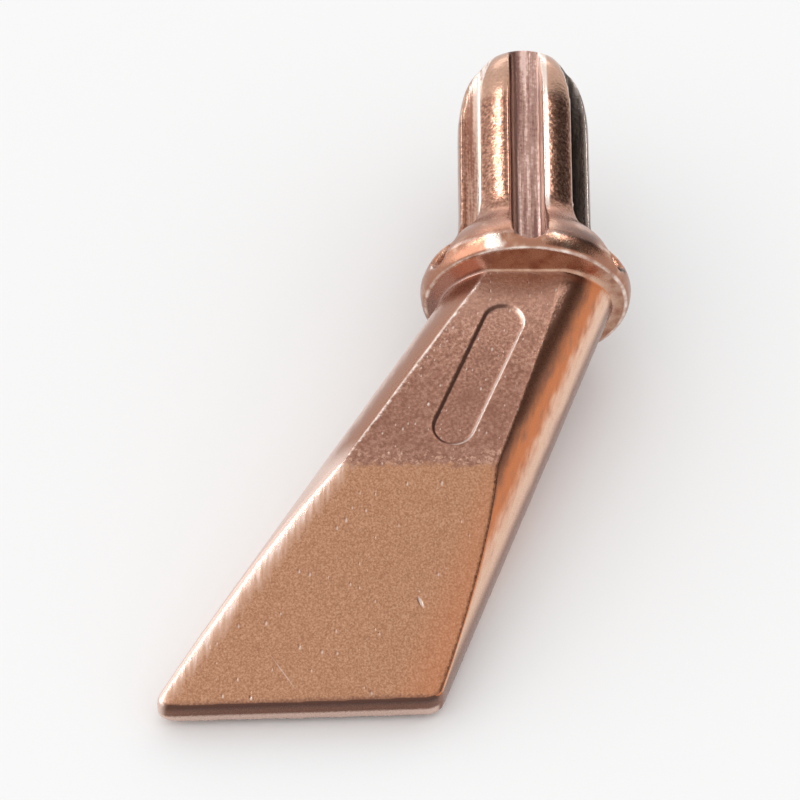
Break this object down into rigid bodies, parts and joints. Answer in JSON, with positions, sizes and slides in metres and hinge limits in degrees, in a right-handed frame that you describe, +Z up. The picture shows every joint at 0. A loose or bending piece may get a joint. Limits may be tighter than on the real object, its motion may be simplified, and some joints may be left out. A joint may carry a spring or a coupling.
{
  "type": "soldering copper",
  "caption": "Forged copper soldering bit: a fluted shank with a domed end, a rounded collar and a raked hatchet head that tapers to a blunt straight working edge.",
  "frame": {"origin": "on the shank's axis, in the plane of the collar's underside", "axes": "the bit lies on its back: +Z is up from the bench, +Y runs along the bit towards the shank's end, +X points to the short side of the head; the shank's axis rises 9.89 degrees from +Y towards +Z"},
  "size_m": [0.0659, 0.1076, 0.0295],
  "materials": {
    "forged_copper": "satin",
    "dressed_copper": "satin"
  },
  "bodies": {
    "root": {"fluted_shank": "forged_copper", "collar": "forged_copper", "neck": "forged_copper", "blade": "dressed_copper"}
  },
  "joints": []
}
